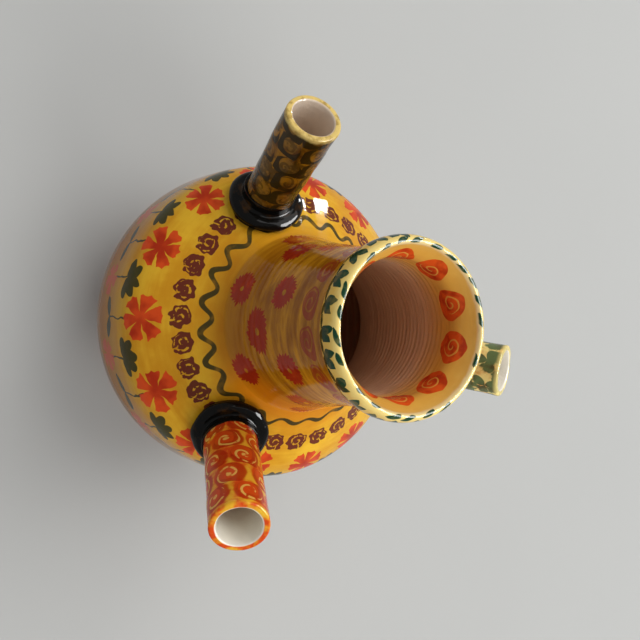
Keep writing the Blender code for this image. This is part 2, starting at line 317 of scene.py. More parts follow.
def run_lengths(outline):
    """Distance of each point from the outline's first, along the outline."""
    total = 0
    runs = [0]
    for low, high in zip(outline, outline[1:]):
        total += (Vector(high) - Vector(low)).length
        runs.append(total)
    return runs


def belly_middle(body):
    """Height of the belly's widest circle."""
    reach = BELLY_HIGH.x
    return BELLY_LOW.z + body.belly_depth * math.sqrt(1 - (body.base_radius / reach) ** 2)


def belly_side(body):
    """The belly's outer outline, from the edge of its base up to the neck's seat."""
    reach = BELLY_HIGH.x
    middle = belly_middle(body)
    base_angle = math.degrees(math.acos(body.base_radius / reach))
    below = ellipse((0, middle), reach, body.belly_depth, -base_angle, 0, LOWER_POINTS)
    seat = (body.seat_radius, BELLY_HIGH.z)
    handle = (seat[0] + body.shoulder_run * math.cos(body.shoulder_slope),
              seat[1] - body.shoulder_run * math.sin(body.shoulder_slope))
    ends = ((reach, middle), (reach, middle + body.shoulder_side), handle, seat)
    return below + bend(ends, close_to_end(SHOULDER_POINTS))[1:]


def neck_side(body):
    """The neck's outer outline, from its root on the shoulder up to the lip."""
    root = (body.seat_radius, BELLY_HIGH.z)
    handle = (root[0] - body.root_curve * math.cos(body.shoulder_slope),
              root[1] + body.root_curve * math.sin(body.shoulder_slope))
    width = LIP_HIGH.x - 2 * body.lip_bulge + NECK_UNDER_LIP
    top_height = root[1] + body.flare_rise
    ends = (root, handle, (width, top_height - body.flare_curve), (width, top_height))
    straight = [(width, height) for height in spaced(top_height, LIP_LOW.z, 5)[1:]]
    return bend(ends, close_to_start(FLARE_POINTS, 1.2)) + straight


def height_on_shoulder(body, radius):
    """Height and slope of the shoulder at a radius."""
    side = belly_side(body)[LOWER_POINTS - 1:]
    for low, high in zip(side, side[1:]):
        if high[0] <= radius <= low[0]:
            share = (radius - low[0]) / (high[0] - low[0])
            return low[1] + share * (high[1] - low[1]), math.atan2(high[1] - low[1], low[0] - high[0])
    raise ValueError("the shoulder doesn't pass this radius")


# Turning, cutting and placing


def start_ring(name, point, steps):
    """A ring of edges to draw a piece up from, open in edit mode."""
    bpy.ops.object.select_all(action="DESELECT")
    bpy.ops.mesh.primitive_circle_add(vertices=steps, radius=point[0], location=(0, 0, point[1]))
    piece = bpy.context.active_object
    piece.name = name
    piece.data.name = name
    bpy.ops.object.mode_set(mode="EDIT")
    bpy.ops.mesh.select_mode(type="EDGE")
    bpy.ops.mesh.select_all(action="SELECT")
    return piece


def extrude_up(distance):
    bpy.ops.mesh.extrude_region_move(TRANSFORM_OT_translate={"value": (0, 0, distance)})


def draw_to(last, point):
    """Extrude the ring in hand to the outline's next point."""
    extrude_up(point[1] - last[1])
    share = point[0] / last[0]
    bpy.ops.transform.resize(value=(share, share, 1), center_override=(0, 0, point[1]))


def turn(name, outline, steps):
    """A closed piece turned about the Z axis.

    An outline that starts and ends on the axis is closed with a pole at each end, and any other is closed
    on itself.
    """
    on_axis = outline[0][0] == 0
    rings = outline[1:-1] if on_axis else outline
    piece = start_ring(name, rings[0], steps)
    if on_axis:
        extrude_up(outline[0][1] - rings[0][1])
        bpy.ops.mesh.merge(type="CENTER")
        bpy.ops.mesh.select_all(action="DESELECT")
        bpy.ops.mesh.select_non_manifold()
    for last, point in zip(rings, rings[1:]):
        draw_to(last, point)
    if on_axis:
        extrude_up(outline[-1][1] - rings[-1][1])
        bpy.ops.mesh.merge(type="CENTER")
    else:
        bpy.ops.mesh.select_all(action="DESELECT")
        bpy.ops.mesh.select_non_manifold()
        bpy.ops.mesh.bridge_edge_loops()
    bpy.ops.mesh.select_all(action="SELECT")
    bpy.ops.mesh.remove_doubles(threshold=MERGE_DISTANCE)
    bpy.ops.mesh.normals_make_consistent(inside=False)
    bpy.ops.object.mode_set(mode="OBJECT")
    settle(piece)
    return piece


def settle(piece):
    """Put the piece's place in its mesh, with its object at the origin."""
    select_only(piece)
    bpy.ops.object.transform_apply(location=True, rotation=True, scale=True)


def select_only(piece):
    bpy.ops.object.select_all(action="DESELECT")
    piece.select_set(True)
    bpy.context.view_layer.objects.active = piece


def bore_through(piece, place, radius, low, high):
    """Cut a round hole along the Z axis of a place."""
    bpy.ops.object.select_all(action="DESELECT")
    bpy.ops.mesh.primitive_cylinder_add(vertices=48, radius=radius, depth=high - low,
                                        location=(0, 0, (low + high) / 2))
    drill = bpy.context.active_object
    settle(drill)
    drill.matrix_world = place
    select_only(piece)
    hole = piece.modifiers.new("Hole", "BOOLEAN")
    hole.operation = "DIFFERENCE"
    hole.solver = "EXACT"
    hole.object = drill
    bpy.ops.object.modifier_apply(modifier=hole.name)
    bpy.data.objects.remove(drill, do_unlink=True)


def along_outline(outline, runs, radius, height):
    """The run length of the outline's place nearest to a point."""
    spot = Vector((radius, height))
    best = (math.inf, 0)
    for i in range(len(outline) - 1):
        start = Vector(outline[i])
        step = Vector(outline[i + 1]) - start
        share = 0
        if step.length_squared:
            share = min(max((spot - start).dot(step) / step.length_squared, 0), 1)
        gap = (start + step * share - spot).length_squared
        if gap < best[0]:
            best = (gap, runs[i] + share * (runs[i + 1] - runs[i]))
    return best[1]


def mark_places(piece, outline, runs):
    """Write each vertex's run along the outline, and its place before the piece is leant over."""
    known = {}
    arcs = []
    places = []
    for vertex in piece.data.vertices:
        radius = math.hypot(vertex.co.x, vertex.co.y)
        key = (round(radius, 5), round(vertex.co.z, 5))
        if key not in known:
            known[key] = along_outline(outline, runs, radius, vertex.co.z)
        arcs.append(known[key])
        places.extend(vertex.co)
    piece.data.attributes.new("arc", "FLOAT", "POINT").data.foreach_set("value", arcs)
    piece.data.attributes.new("thrown", "FLOAT_VECTOR", "POINT").data.foreach_set("vector", places)


def wall_place(vertex, radius):
    """A vertex's direction from the pot's axis with its height, for the noise on a thrown wall."""
    return Vector((vertex.co.x / radius, vertex.co.y / radius, vertex.co.z * 9))


def throw_unevenly(piece, amount):
    """Move the wall in and out a little, as a potter's hands do."""
    for vertex in piece.data.vertices:
        radius = math.hypot(vertex.co.x, vertex.co.y)
        if radius > POLE_RADIUS:
            widen(vertex, radius, amount * (noise.noise(wall_place(vertex, radius) * 1.3) - 0.5))


def throw_rings(piece, flags, gap, depth):
    """Leave throwing rings in the flagged wall, except close to its two ends."""
    for vertex, flagged in zip(piece.data.vertices, flags):
        if not flagged:
            continue
        radius = math.hypot(vertex.co.x, vertex.co.y)
        around = wall_place(vertex, radius)
        low = (vertex.co.z - BELLY_HIGH.z - RINGS_START) / RINGS_FADE_IN
        high = (LIP_LOW.z - vertex.co.z) / RINGS_FADE_OUT
        share = min(max(low, 0), 1) * min(max(high, 0), 1)
        ring = math.sin(math.tau * vertex.co.z / gap + 2.6 * noise.noise(around * 2.1))
        widen(vertex, radius, share * depth * ring * (1 + 1.2 * noise.noise(around * 1.7)))


def widen(vertex, radius, shift):
    """Move a vertex away from the pot's axis."""
    vertex.co.x += shift * vertex.co.x / radius
    vertex.co.y += shift * vertex.co.y / radius


def press_by_hand(piece, amount, grain):
    """Dent the surface a little, at a grain in metres."""
    normals = [vertex.normal.copy() for vertex in piece.data.vertices]
    for vertex, normal in zip(piece.data.vertices, normals):
        vertex.co += normal * amount * (noise.noise(vertex.co / grain) - 0.4)


def smooth(piece):
    select_only(piece)
    bpy.ops.object.shade_smooth_by_angle(angle=CREASE)


def dress(piece, node, slot, *glazes):
    """Glaze the piece, let it ride with the pot and stand for its CAD node."""
    piece.data.materials.clear()
    for glaze in glazes:
        piece.data.materials.append(glaze)
    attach(piece, "root")
    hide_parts(node)


def glaze_faces(piece, place_in_list, belongs):
    """Give the faces that belong to it the glaze at this place in the piece's list."""
    for face in piece.data.polygons:
        if belongs(face):
            face.material_index = place_in_list


def leaning(azimuth, lean):
    return Matrix.Rotation(azimuth, 4, "Z") @ Matrix.Rotation(lean, 4, "Y")


def spout_place(body, spouts, i):
    """The spout's own frame, with its origin at its root and its Z axis up its bore."""
    distance = body.seat_radius + spouts.offset[i]
    height, _ = height_on_shoulder(body, distance)
    azimuth = spouts.azimuth[i]
    root = Vector((distance * math.cos(azimuth), distance * math.sin(azimuth), height))
    return Matrix.Translation(root) @ leaning(azimuth + spouts.swing[i], spouts.lean[i])


def collar_place(body, spouts, i):
    """A frame square to the shoulder, whose Z axis meets the spout's axis at the collar's rim."""
    _, slope = height_on_shoulder(body, body.seat_radius + spouts.offset[i])
    square = leaning(spouts.azimuth[i], slope)
    to_rim = Vector((0, 0, spouts.rim_height))
    return Matrix.Translation(spout_place(body, spouts, i) @ to_rim - square @ to_rim) @ square


def spout_girth(spouts, i, along):
    """Outer radius of a spout at a distance from its root."""
    return spouts.root_radius[i] + (spouts.mouth_radius - spouts.root_radius[i]) * along / spouts.tube[i]


# Brushes: nodes written as sums


class Mark:
    """A value that differs from place to place over a glaze, carried by a node's socket."""

    def __init__(self, brush, socket):
        self.brush = brush
        self.socket = socket

    def __add__(self, other):
        return self.brush.reckon("ADD", self, other)

    __radd__ = __add__

    def __sub__(self, other):
        return self.brush.reckon("SUBTRACT", self, other)

    def __rsub__(self, other):
        return self.brush.reckon("SUBTRACT", other, self)

    def __mul__(self, other):
        return self.brush.reckon("MULTIPLY", self, other)

    def __truediv__(self, other):
        return self.brush.reckon("DIVIDE", self, other)

    def __pow__(self, other):
        return self.brush.reckon("POWER", self, other)


class Brush:
    """Adds nodes to one glaze and joins them up."""

    def __init__(self, name):
        self.material = bpy.data.materials.new(name)
        self.material.use_nodes = True
        self.nodes = self.material.node_tree.nodes
        self.links = self.material.node_tree.links
        self.shader = self.nodes["Principled BSDF"]
        self.shader.inputs["Roughness"].default_value = 0.1
        self.shader.inputs["IOR"].default_value = 1.27
        self.shader.inputs["Specular IOR Level"].default_value = 0.36
        self.ground = None

    def feed(self, socket, value):
        """Link a mark to a socket, or write a number or a colour in it."""
        if isinstance(value, Mark):
            self.links.new(value.socket, socket)
        elif isinstance(value, (int, float)):
            socket.default_value = value
        elif socket.type == "RGBA":
            socket.default_value = (*value, 1)
        else:
            socket.default_value = value

    def reckon(self, operation, *values):
        node = self.nodes.new("ShaderNodeMath")
        node.operation = operation
        for socket, value in zip(node.inputs, values):
            self.feed(socket, value)
        return Mark(self, node.outputs[0])

    def size(self, value):
        return self.reckon("ABSOLUTE", value)

    def most(self, one, other):
        return self.reckon("MAXIMUM", one, other)

    def wave(self, value):
        return self.reckon("SINE", value)

    def edge(self, value, low, high):
        """0 below low and 1 above high, eased in between, or the other way round if low is above high."""
        node = self.nodes.new("ShaderNodeMapRange")
        node.interpolation_type = "SMOOTHSTEP"
        self.feed(node.inputs[0], value)
        self.feed(node.inputs[1], low)
        self.feed(node.inputs[2], high)
        return Mark(self, node.outputs[0])

    def ragged(self, value, grain, amount, low, high):
        """An edge that a grain from 0 to 1 moves to and fro."""
        return self.edge(value + (grain - 0.5) * amount, low, high)

    def mix(self, under, over, share):
        node = self.nodes.new("ShaderNodeMix")
        node.data_type = "RGBA"
        self.feed(node.inputs[0], share)
        self.feed(node.inputs[6], under)
        self.feed(node.inputs[7], over)
        return Mark(self, node.outputs[2])

    def lay(self, tint, share):
        """Lay a tint over the ground painted so far."""
        self.ground = self.mix(self.ground, tint, share)

    def vector(self, x, y, z):
        node = self.nodes.new("ShaderNodeCombineXYZ")
        for socket, value in zip(node.inputs, (x, y, z)):
            self.feed(socket, value)
        return Mark(self, node.outputs[0])

    def split(self, vector):
        node = self.nodes.new("ShaderNodeSeparateXYZ")
        self.feed(node.inputs[0], vector)
        return [Mark(self, output) for output in node.outputs]

    def place(self):
        node = self.nodes.new("ShaderNodeTexCoord")
        return Mark(self, node.outputs["Object"])

    def attribute(self, name, output):
        node = self.nodes.new("ShaderNodeAttribute")
        node.attribute_name = name
        return Mark(self, node.outputs[output])

    def cloud(self, place, scale, detail=2.0, roughness=0.5, output="Fac"):
        """Soft noise, in features of about 1 / scale."""
        node = self.nodes.new("ShaderNodeTexNoise")
        self.feed(node.inputs["Vector"], place)
        node.inputs["Scale"].default_value = scale
        node.inputs["Detail"].default_value = detail
        node.inputs["Roughness"].default_value = roughness
        return Mark(self, node.outputs[output])

    def blots(self, place, scale, detail, low, high):
        """Soft noise with its darks and lights pushed apart."""
        return self.edge(self.cloud(place, scale, detail), low, high)

    def chance(self, number, seed=0.0):
        """Three random values from 0 to 1 for a whole number."""
        node = self.nodes.new("ShaderNodeTexWhiteNoise")
        node.noise_dimensions = "1D"
        self.feed(node.inputs["W"], number * 1.37 + seed)
        return self.split(Mark(self, node.outputs["Color"]))

    def polar(self, across, up):
        """Distance from a stamp's middle, and the direction in turns."""
        distance = self.reckon("SQRT", across * across + up * up)
        return distance, self.reckon("ARCTAN2", up, across) / math.tau

    def finish(self, roughness, height=None, depth=0.0002):
        """Join the ground, roughness and relief to the shader."""
        self.feed(self.shader.inputs["Base Color"], self.ground)
        self.feed(self.shader.inputs["Roughness"], roughness)
        if height is not None:
            bump = self.nodes.new("ShaderNodeBump")
            bump.inputs["Distance"].default_value = depth
            self.feed(bump.inputs["Height"], height)
            self.links.new(bump.outputs[0], self.shader.inputs["Normal"])
        return self.material


# Stamps and strokes

SOFT = 0.00025


def girdle(brush, around, girth, count, phase):
    """The number of the nearest of a row of stamps, and the distance round the pot from its middle."""
    turns = (around - phase) * (count / WHOLE_TURN)
    number = brush.reckon("ROUND", turns)
    across = (turns - number) * girth * (math.tau / count)
    return brush.reckon("FLOORED_MODULO", number, count), across


def stamp_row(brush, around, girth, count, phase, seed=0.0):
    """As girdle, with three random values for the nearest stamp."""
    number, across = girdle(brush, around, girth, count, phase)
    return number, across, brush.chance(number, seed)


def turned_by(brush, across, up, angle):
    """A stamp's own axes turned by an angle, a mark in radians."""
    cosine = brush.reckon("COSINE", angle)
    sine = brush.reckon("SINE", angle)
    return across * cosine + up * sine, up * cosine - across * sine


def leaf(brush, across, up, angle, length_, width, point=0.7):
    """A leaf that leaves the middle at an angle in degrees; the lower the point, the rounder its tip."""
    cosine, sine = math.cos(math.radians(angle)), math.sin(math.radians(angle))
    along = (across * cosine + up * sine) / length_
    aside = brush.size(up * cosine - across * sine)
    span = (along * (1 - along)) ** point
    return brush.edge(span * (4 ** point * width) - aside, 0, SOFT * 1.6)


def leaves(brush, across, up, shapes, point=0.7):
    """Leaves that leave one middle, each with its angle, length and width."""
    return reduce(brush.most, [leaf(brush, across, up, *shape, point) for shape in shapes])


def stem(brush, across, up, low, high, width):
    """An upright stroke between two heights."""
    body = brush.edge(brush.size(across), width + SOFT, width)
    return body * brush.edge(up, low, low + SOFT) * brush.edge(up, high + SOFT, high)


def blossom(brush, across, up, number, radius, petals, gap, notch):
    """A flower of wedge petals, each a little longer or shorter, with a nick in its tip."""
    distance, turns = brush.polar(across, up)
    turns = turns * petals
    petal = brush.reckon("ROUND", turns)
    aside = brush.size(turns - petal)
    luck = brush.chance(brush.reckon("FLOORED_MODULO", petal, petals) + number * petals)
    to_gap = (0.5 - aside) * (math.tau / petals) * distance
    gap_half = (distance * (1.6 / radius) - 0.6) * (luck[1] * 0.6 + 0.7) * gap
    teeth = brush.size(brush.wave(turns * (math.pi * 3) + luck[2] * 3))
    tip = (luck[0] * 0.22 + 0.94) * radius - teeth * notch - aside ** 4.0 * (radius * 0.9)
    flower = brush.edge(to_gap - gap_half, 0, SOFT * 1.5) * brush.edge(tip - distance, 0, SOFT * 1.5)
    return flower, distance


def daisy(brush, across, up, number, radius, petals):
    """A flower that is whole in the middle and frayed into thin petals at its edge."""
    distance, turns = brush.polar(across, up)
    turns = (turns + distance * 6) * petals
    petal = brush.reckon("ROUND", turns)
    luck = brush.chance(brush.reckon("FLOORED_MODULO", petal, petals) + number * petals)[0]
    tip = (luck * 0.16 + 0.96) * radius - brush.size(turns - petal) * (radius * 0.34)
    return brush.edge(tip - distance, 0, SOFT * 1.5), distance


def curl(brush, distance, turns, pitch, width, low, high, lead=0.0):
    """A spiral line of a pitch and half width, between two distances from the middle."""
    run = distance / pitch - turns + lead
    off = brush.size(run - brush.reckon("ROUND", run)) * pitch
    line = brush.edge(off, width + SOFT, width)
    return line * brush.edge(distance, low, low + SOFT) * brush.edge(distance, high + SOFT, high)


def drop(brush, distance, turns, radius, tail, towards):
    """A round stamp with a pointed tail towards a direction in turns."""
    off = turns - towards
    off = brush.size(off - brush.reckon("ROUND", off))
    reach = brush.edge(off, 0.17, 0.0) * tail + radius
    return brush.edge(reach - distance, 0, SOFT * 1.5)


def hand(brush, place, amount, scale):
    """Two small shifts that make every stroke a little uneven."""
    shifts = brush.split(brush.cloud(place, scale, 1.0, output="Color"))
    return (shifts[0] - 0.5) * amount, (shifts[1] - 0.5) * amount


# A place on a piece with its parts, its azimuth in degrees and its distance from the axis
Spot = namedtuple("Spot", "place x y z around girth")


def spot_on(brush, place):
    x, y, z = brush.split(place)
    around = brush.reckon("ARCTAN2", y, x) * (HALF_TURN / math.pi)
    return Spot(place, x, y, z, around, brush.reckon("SQRT", x * x + y * y))


def spot_on_pot(brush):
    """The spot under the brush, with its arc."""
    return spot_on(brush, brush.place()), brush.attribute("arc", "Fac")


def spot_on_tube(brush):
    """The spot on a piece that leans, in its own coordinates before it was leant over."""
    return spot_on(brush, brush.attribute("thrown", "Vector"))


def brushed(brush, at, run, fine, coarse, detail=4.0, roughness=0.62):
    """Streaks that a loaded brush leaves round a turning pot."""
    streaks = brush.vector(at.x / at.girth * coarse, at.y / at.girth * coarse, run * fine)
    return brush.cloud(streaks, 1.0, detail, roughness)


# Glazes

# Middles of the belly's bands, as arcs down from the neck's seat, and where its bare clay starts
WAVE_ARC = 0.0106
ROSE_ARC = 0.0262
FLOWER_ARC = 0.0503
CLUSTER_ARC = 0.0670
LOW_WAVE_ARC = 0.1285
BARE_ARC = 0.1655

# Middles of the neck's lowest daisies and of its spirals, as arcs up from the seat, and the rows' gap
DAISY_ARC = 0.0105
DAISY_ROW_GAP = 0.0215
FADED_SPIRAL_ARC = 0.0815

# Each leaf's angle in degrees, length and width
STEM_LEAVES = ((16, 0.0130, 0.0034), (164, 0.0130, 0.0034))
CLUSTER_LEAVES = ((-88, 0.0122, 0.0036), (-48, 0.0130, 0.0036), (-132, 0.0130, 0.0036),
                  (-8, 0.0122, 0.0031), (-172, 0.0122, 0.0031))
LIP_LEAVES = ((40, 0.0105, 0.0031), (100, 0.0092, 0.0029), (-26, 0.0105, 0.0025), (190, 0.0125, 0.0019))

# The belly's row of flowers, with as many leaf clusters halfway between them
FLOWERS = 14
FIRST_FLOWER = -105.2


def painted_ground(brush, tints, at, rise):
    """One wash over belly and neck, by the distance up from the neck's seat, less than 0 on the belly."""
    patches = brush.cloud(at.place, 24, 4.0, 0.62)
    streaks = brushed(brush, at, rise, 170, 1.4)
    tone = brush.edge(patches * 0.85 + streaks * 0.40, 0.46, 0.80)
    brush.ground = brush.mix(tints.ochre, tints.honey, tone)
    streaky = brush.edge(patches * 0.40 + streaks * 0.90, 0.46, 0.90)
    neck = brush.mix(tints.amber, tints.ochre, streaky * 0.85)
    brush.lay(neck, brush.ragged(rise, patches, 0.02, -0.016, 0.026))
    wash = brush.edge(brush.size(rise - 0.006 + (streaks - 0.5) * 0.014), 0.030, 0.004)
    front = (at.x * 0.82 - at.y * 0.57) / at.girth * 0.30 + 0.44
    # Painted shade: on the pot's -Y side, away from the lights, the orange wash turns amber.
    tint = brush.mix(tints.orange, tints.amber, brush.edge(at.y / at.girth, -0.48, -0.92) * 0.85)
    brush.lay(tint, wash * front)
    return patches, streaks


def rose(brush, place, across, up, luck):
    """A lumpy round stamp with a broken curl left open in it, and a dot beside it."""
    distance, turns = brush.polar(across, up)
    lumps = brush.wave((turns * 7 + luck[2]) * math.tau) * 0.00042
    lumps += brush.wave(turns * (math.tau * 4)) * 0.00022
    lumps += (brush.cloud(place, 300, 1.0) - 0.5) * 0.0012
    stamp = brush.edge(lumps + 0.0070 - distance, 0, SOFT)
    open_curl = curl(brush, distance, turns, 0.0038, 0.00046, 0.0009, 0.0056, luck[0])
    broken = brush.blots(place, 400, 1.0, 0.44, 0.52)
    nick = brush.edge(brush.size(across - up * 0.3 - 0.0012) - 0.00032, SOFT, 0)
    nick *= brush.edge(up, 0.0022, 0.0034)
    stamp = stamp * (1 - brush.most(open_curl * broken, nick) * 0.9)
    aside, _ = brush.polar(across - 0.0048, up - 0.0046)
    return brush.most(stamp, brush.edge(aside - 0.0012, SOFT, 0))


def belly_glaze(tints):
    """Yellow ground with a wavy line, roses, flowers and leaves in bands."""
    brush = Brush("belly_glaze")
    at, arc = spot_on_pot(brush)
    place, around, girth = at.place, at.around, at.girth
    patches, streaks = painted_ground(brush, tints, at, arc * -1)
    # Painted shade: the belly's ground turns amber towards its base.
    lower_belly_shade = brush.ragged(arc, patches, 0.03, 0.040, 0.110)
    brush.lay(tints.amber, lower_belly_shade * 0.90)
    shift_x, shift_y = hand(brush, place, 0.0034, 120)
    arc = arc + shift_y

    # The wavy line, flatter and nearer to the neck between the red spout and the green one
    waves = 22
    drift = brush.cloud(place, 24, 1.0) - 0.5
    turns = (around + 89.3) * (waves / WHOLE_TURN) + drift * 0.4
    flat = brush.edge(brush.size(around - 30), 40, 30)
    sweep = flat * -0.0021 + 0.0037
    middle = brush.wave(turns * math.tau + math.pi / 2) * sweep + (WAVE_ARC - flat * 0.0020) + drift * 0.003
    slope = brush.wave(turns * math.tau) * sweep * waves / girth
    lean = brush.reckon("SQRT", slope * slope + 1)
    thick = brush.wave(turns * math.tau + 2.4) * 0.00035 + 0.00165 - flat * 0.0003
    line = brush.edge(brush.size(arc - shift_y * 0.9 - middle) / lean - thick, SOFT, -SOFT)
    load = brush.cloud(place, 420, 2.0)
    faded = brush.blots(place, 130, 2.0, 0.45, 0.85)
    wave_tint = brush.mix(tints.wave, tints.ochre, faded * 0.38)
    brush.lay(wave_tint, line * 0.95)

    # Roses
    _, across, luck = stamp_row(brush, around, girth, 30, -45.3)
    up = arc - ROSE_ARC + (luck[0] - 0.5) * 0.0012
    wobble_x, wobble_y = hand(brush, place, 0.0030, 260)
    stamp = rose(brush, place, across + shift_x + wobble_x * 0.6, up + wobble_y * 0.6, luck)
    brush.lay(tints.rose, stamp * 0.96)

    # Six-petalled flowers, each on a stem that ends in a small pair of leaves
    warp = brush.wave((around + 75) * (math.pi / 90)) * 2.0
    number, across, luck = stamp_row(brush, around - warp, girth, FLOWERS, FIRST_FLOWER, 5.0)
    across = across + shift_x
    up = arc - FLOWER_ARC + (luck[0] - 0.5) * 0.003
    turned_across, turned_up = turned_by(brush, across + wobble_x * 0.4, up + wobble_y * 0.4, luck[1] * 1.4)
    bloom, distance = blossom(brush, turned_across, turned_up, number, 0.0130, 6, 0.0016, 0.0009)
    stalk = stem(brush, across + shift_y, up, 0.009, 0.036, 0.00045)
    greens = brush.most(stalk, leaves(brush, across, up - 0.0355, STEM_LEAVES, 0.55))
    brush.lay(tints.leaf, greens * 0.94)
    outward = brush.edge(brush.cloud(place, 95, 2.0) + distance * 22, 0.46, 0.86)
    red = brush.mix(tints.petal, tints.petal_tip, outward)
    brush.lay(red, bloom * 0.96)

    # Leaf clusters between them, with low flowers hanging from their stems
    between = FIRST_FLOWER + HALF_TURN / FLOWERS
    number, across, luck = stamp_row(brush, around - warp, girth, FLOWERS, between, 9.0)
    across = across + shift_x
    up = arc - CLUSTER_ARC + (luck[0] - 0.5) * 0.003
    lean_across, lean_up = turned_by(brush, across + wobble_x * 0.4, up, (luck[1] - 0.5) * 0.7)
    cluster = leaves(brush, lean_across, lean_up, CLUSTER_LEAVES, 0.5)
    stalk = stem(brush, across + shift_y, up, -0.002, 0.020, 0.00045)
    green = brush.mix(tints.leaf, tints.wave, brush.edge(load, 0.45, 0.75))
    brush.lay(green, brush.most(cluster, stalk) * 0.94)
    bloom, _ = blossom(brush, across, up - 0.0275, number + 40, 0.0100, 5, 0.0018, 0.0010)
    brush.lay(tints.low_flower, bloom * 0.78)

    # Below the view: a second wavy line, and bare clay where the wash stops above the foot
    turns = around * (18 / WHOLE_TURN)
    low_wave = brush.wave(turns * math.tau) * 0.0026 + LOW_WAVE_ARC
    line = brush.edge(brush.size(arc - low_wave) - 0.0013, SOFT, -SOFT)
    brush.lay(wave_tint, line * 0.9)
    bare = brush.ragged(arc, streaks, 0.010, BARE_ARC, BARE_ARC + 0.003)
    brush.lay(tints.clay, bare)

    roughness = patches * 0.03 + load * 0.02 + bare * 0.5 + 0.015
    relief = streaks * 0.02 + patches * 0.06
    return brush.finish(roughness, relief, 0.0006)


def neck_glaze(tints):
    """Brown yellow ground with three rows of daisies and a row of faded spirals under the lip."""
    brush = Brush("neck_glaze")
    at, arc = spot_on_pot(brush)
    place, around, girth = at.place, at.around, at.girth
    patches, streaks = painted_ground(brush, tints, at, arc)
    shift_x, shift_y = hand(brush, place, 0.0026, 140)
    arc = arc + shift_y

    # Three rows of daisies, the middle row halfway between the others
    row = brush.edge(arc, 0.0209, 0.0211) + brush.edge(arc, 0.0429, 0.0431)
    middle_row = 1 - brush.size(row - 1)
    warp = brush.wave((around + 73.5) * (math.pi / HALF_TURN)) * (middle_row * 14 - 6)
    number, across = girdle(brush, around + middle_row * 30.4 - warp, girth, 6, -43.8)
    luck = brush.chance(number + row * 6, 3.0)
    across = across + shift_x + (luck[1] - 0.5) * 0.002
    up = arc - (row * DAISY_ROW_GAP + DAISY_ARC) + (luck[0] - 0.5) * 0.002
    bloom, distance = daisy(brush, across * 0.90, up, number + row * 6, 0.0108, 23)
    heart = brush.edge(distance + shift_x * 0.5, 0.0017, 0.0011)
    red = brush.mix(tints.daisy, tints.petal_tip, brush.blots(place, 120, 2.0, 0.5, 0.9) * 0.5)
    below_lip = brush.edge(arc, 0.071, 0.069)
    brush.lay(red, bloom * (1 - heart) * below_lip * 0.92)

    # Faded spirals under the lip
    _, across, luck = stamp_row(brush, around, girth, 13, -67.9, 7.0)
    up = arc - FADED_SPIRAL_ARC + (luck[0] - 0.5) * 0.001
    distance, turns = brush.polar(across * 0.78 + shift_x, up)
    disc = drop(brush, distance, turns, 0.0072, 0.0018, 0.12)
    line = curl(brush, distance, turns, 0.0038, 0.00036, 0.0008, 0.0060)
    brush.lay(tints.old_spiral, disc * (1 - line * 0.7) * 0.80)

    roughness = patches * 0.05 + brush.cloud(place, 900, 2.0) * 0.03 + 0.03
    relief = streaks * 0.24 + patches * 0.08
    return brush.finish(roughness, relief, 0.0005)


def mouth_ground(brush, tints, at):
    """Cream at the lip's crest, then yellow, then ochre, then the bare throat."""
    patches = brush.cloud(at.place, 60, 3.0, 0.6)
    height = at.z + (patches - 0.5) * 0.010
    glazed = brush.mix(tints.ochre, tints.honey, brush.edge(height, 0.262, 0.284) * (0.15 + patches * 0.5))
    brush.ground = brush.mix(tints.throat, glazed, brush.edge(height, 0.242, 0.270) * 0.82)
    brush.lay(tints.cream, brush.edge(height, 0.282, 0.2900) * 0.15)


def mouth_spirals(brush, tints, at, inner=1.0):
    """Orange red drops with a yellow curl in each, in one row inside the mouth."""
    shift_x, shift_y = hand(brush, at.place, 0.0022, 150)
    _, across, luck = stamp_row(brush, at.around, at.girth, 10, 86.0, 11.0)
    up = at.z - 0.2745 + (luck[0] - 0.5) * 0.003 + shift_y
    distance, turns = brush.polar(across + shift_x, up)
    disc = drop(brush, distance, turns, 0.0090, 0.0014, luck[1] * 0.3 + 0.4)
    line = curl(brush, distance, turns, 0.0036, 0.00034, 0.0008, 0.0058, luck[2])
    deep = brush.mix(tints.petal, tints.spiral, brush.blots(at.place, 160, 2.0, 0.3, 0.6))
    brush.lay(deep, disc * (1 - line * 0.80) * inner * 0.93)


def throat_glaze(tints):
    """The inside of the neck: a glazed mouth that fades into bare clay with throwing rings."""
    brush = Brush("throat_glaze")
    at, _ = spot_on_pot(brush)
    mouth_ground(brush, tints, at)
    mouth_spirals(brush, tints, at)
    grooves = brushed(brush, at, at.z, 150, 0.5)
    dust = brush.edge(grooves, 0.40, 0.66)
    bare = brush.edge(at.z, 0.262, 0.240)
    brush.lay(tints.amber, dust * bare * 0.10)
    roughness = bare * 0.45 + brush.cloud(at.place, 700, 2.0) * 0.08 + 0.08
    return brush.finish(roughness, grooves, 0.0010)


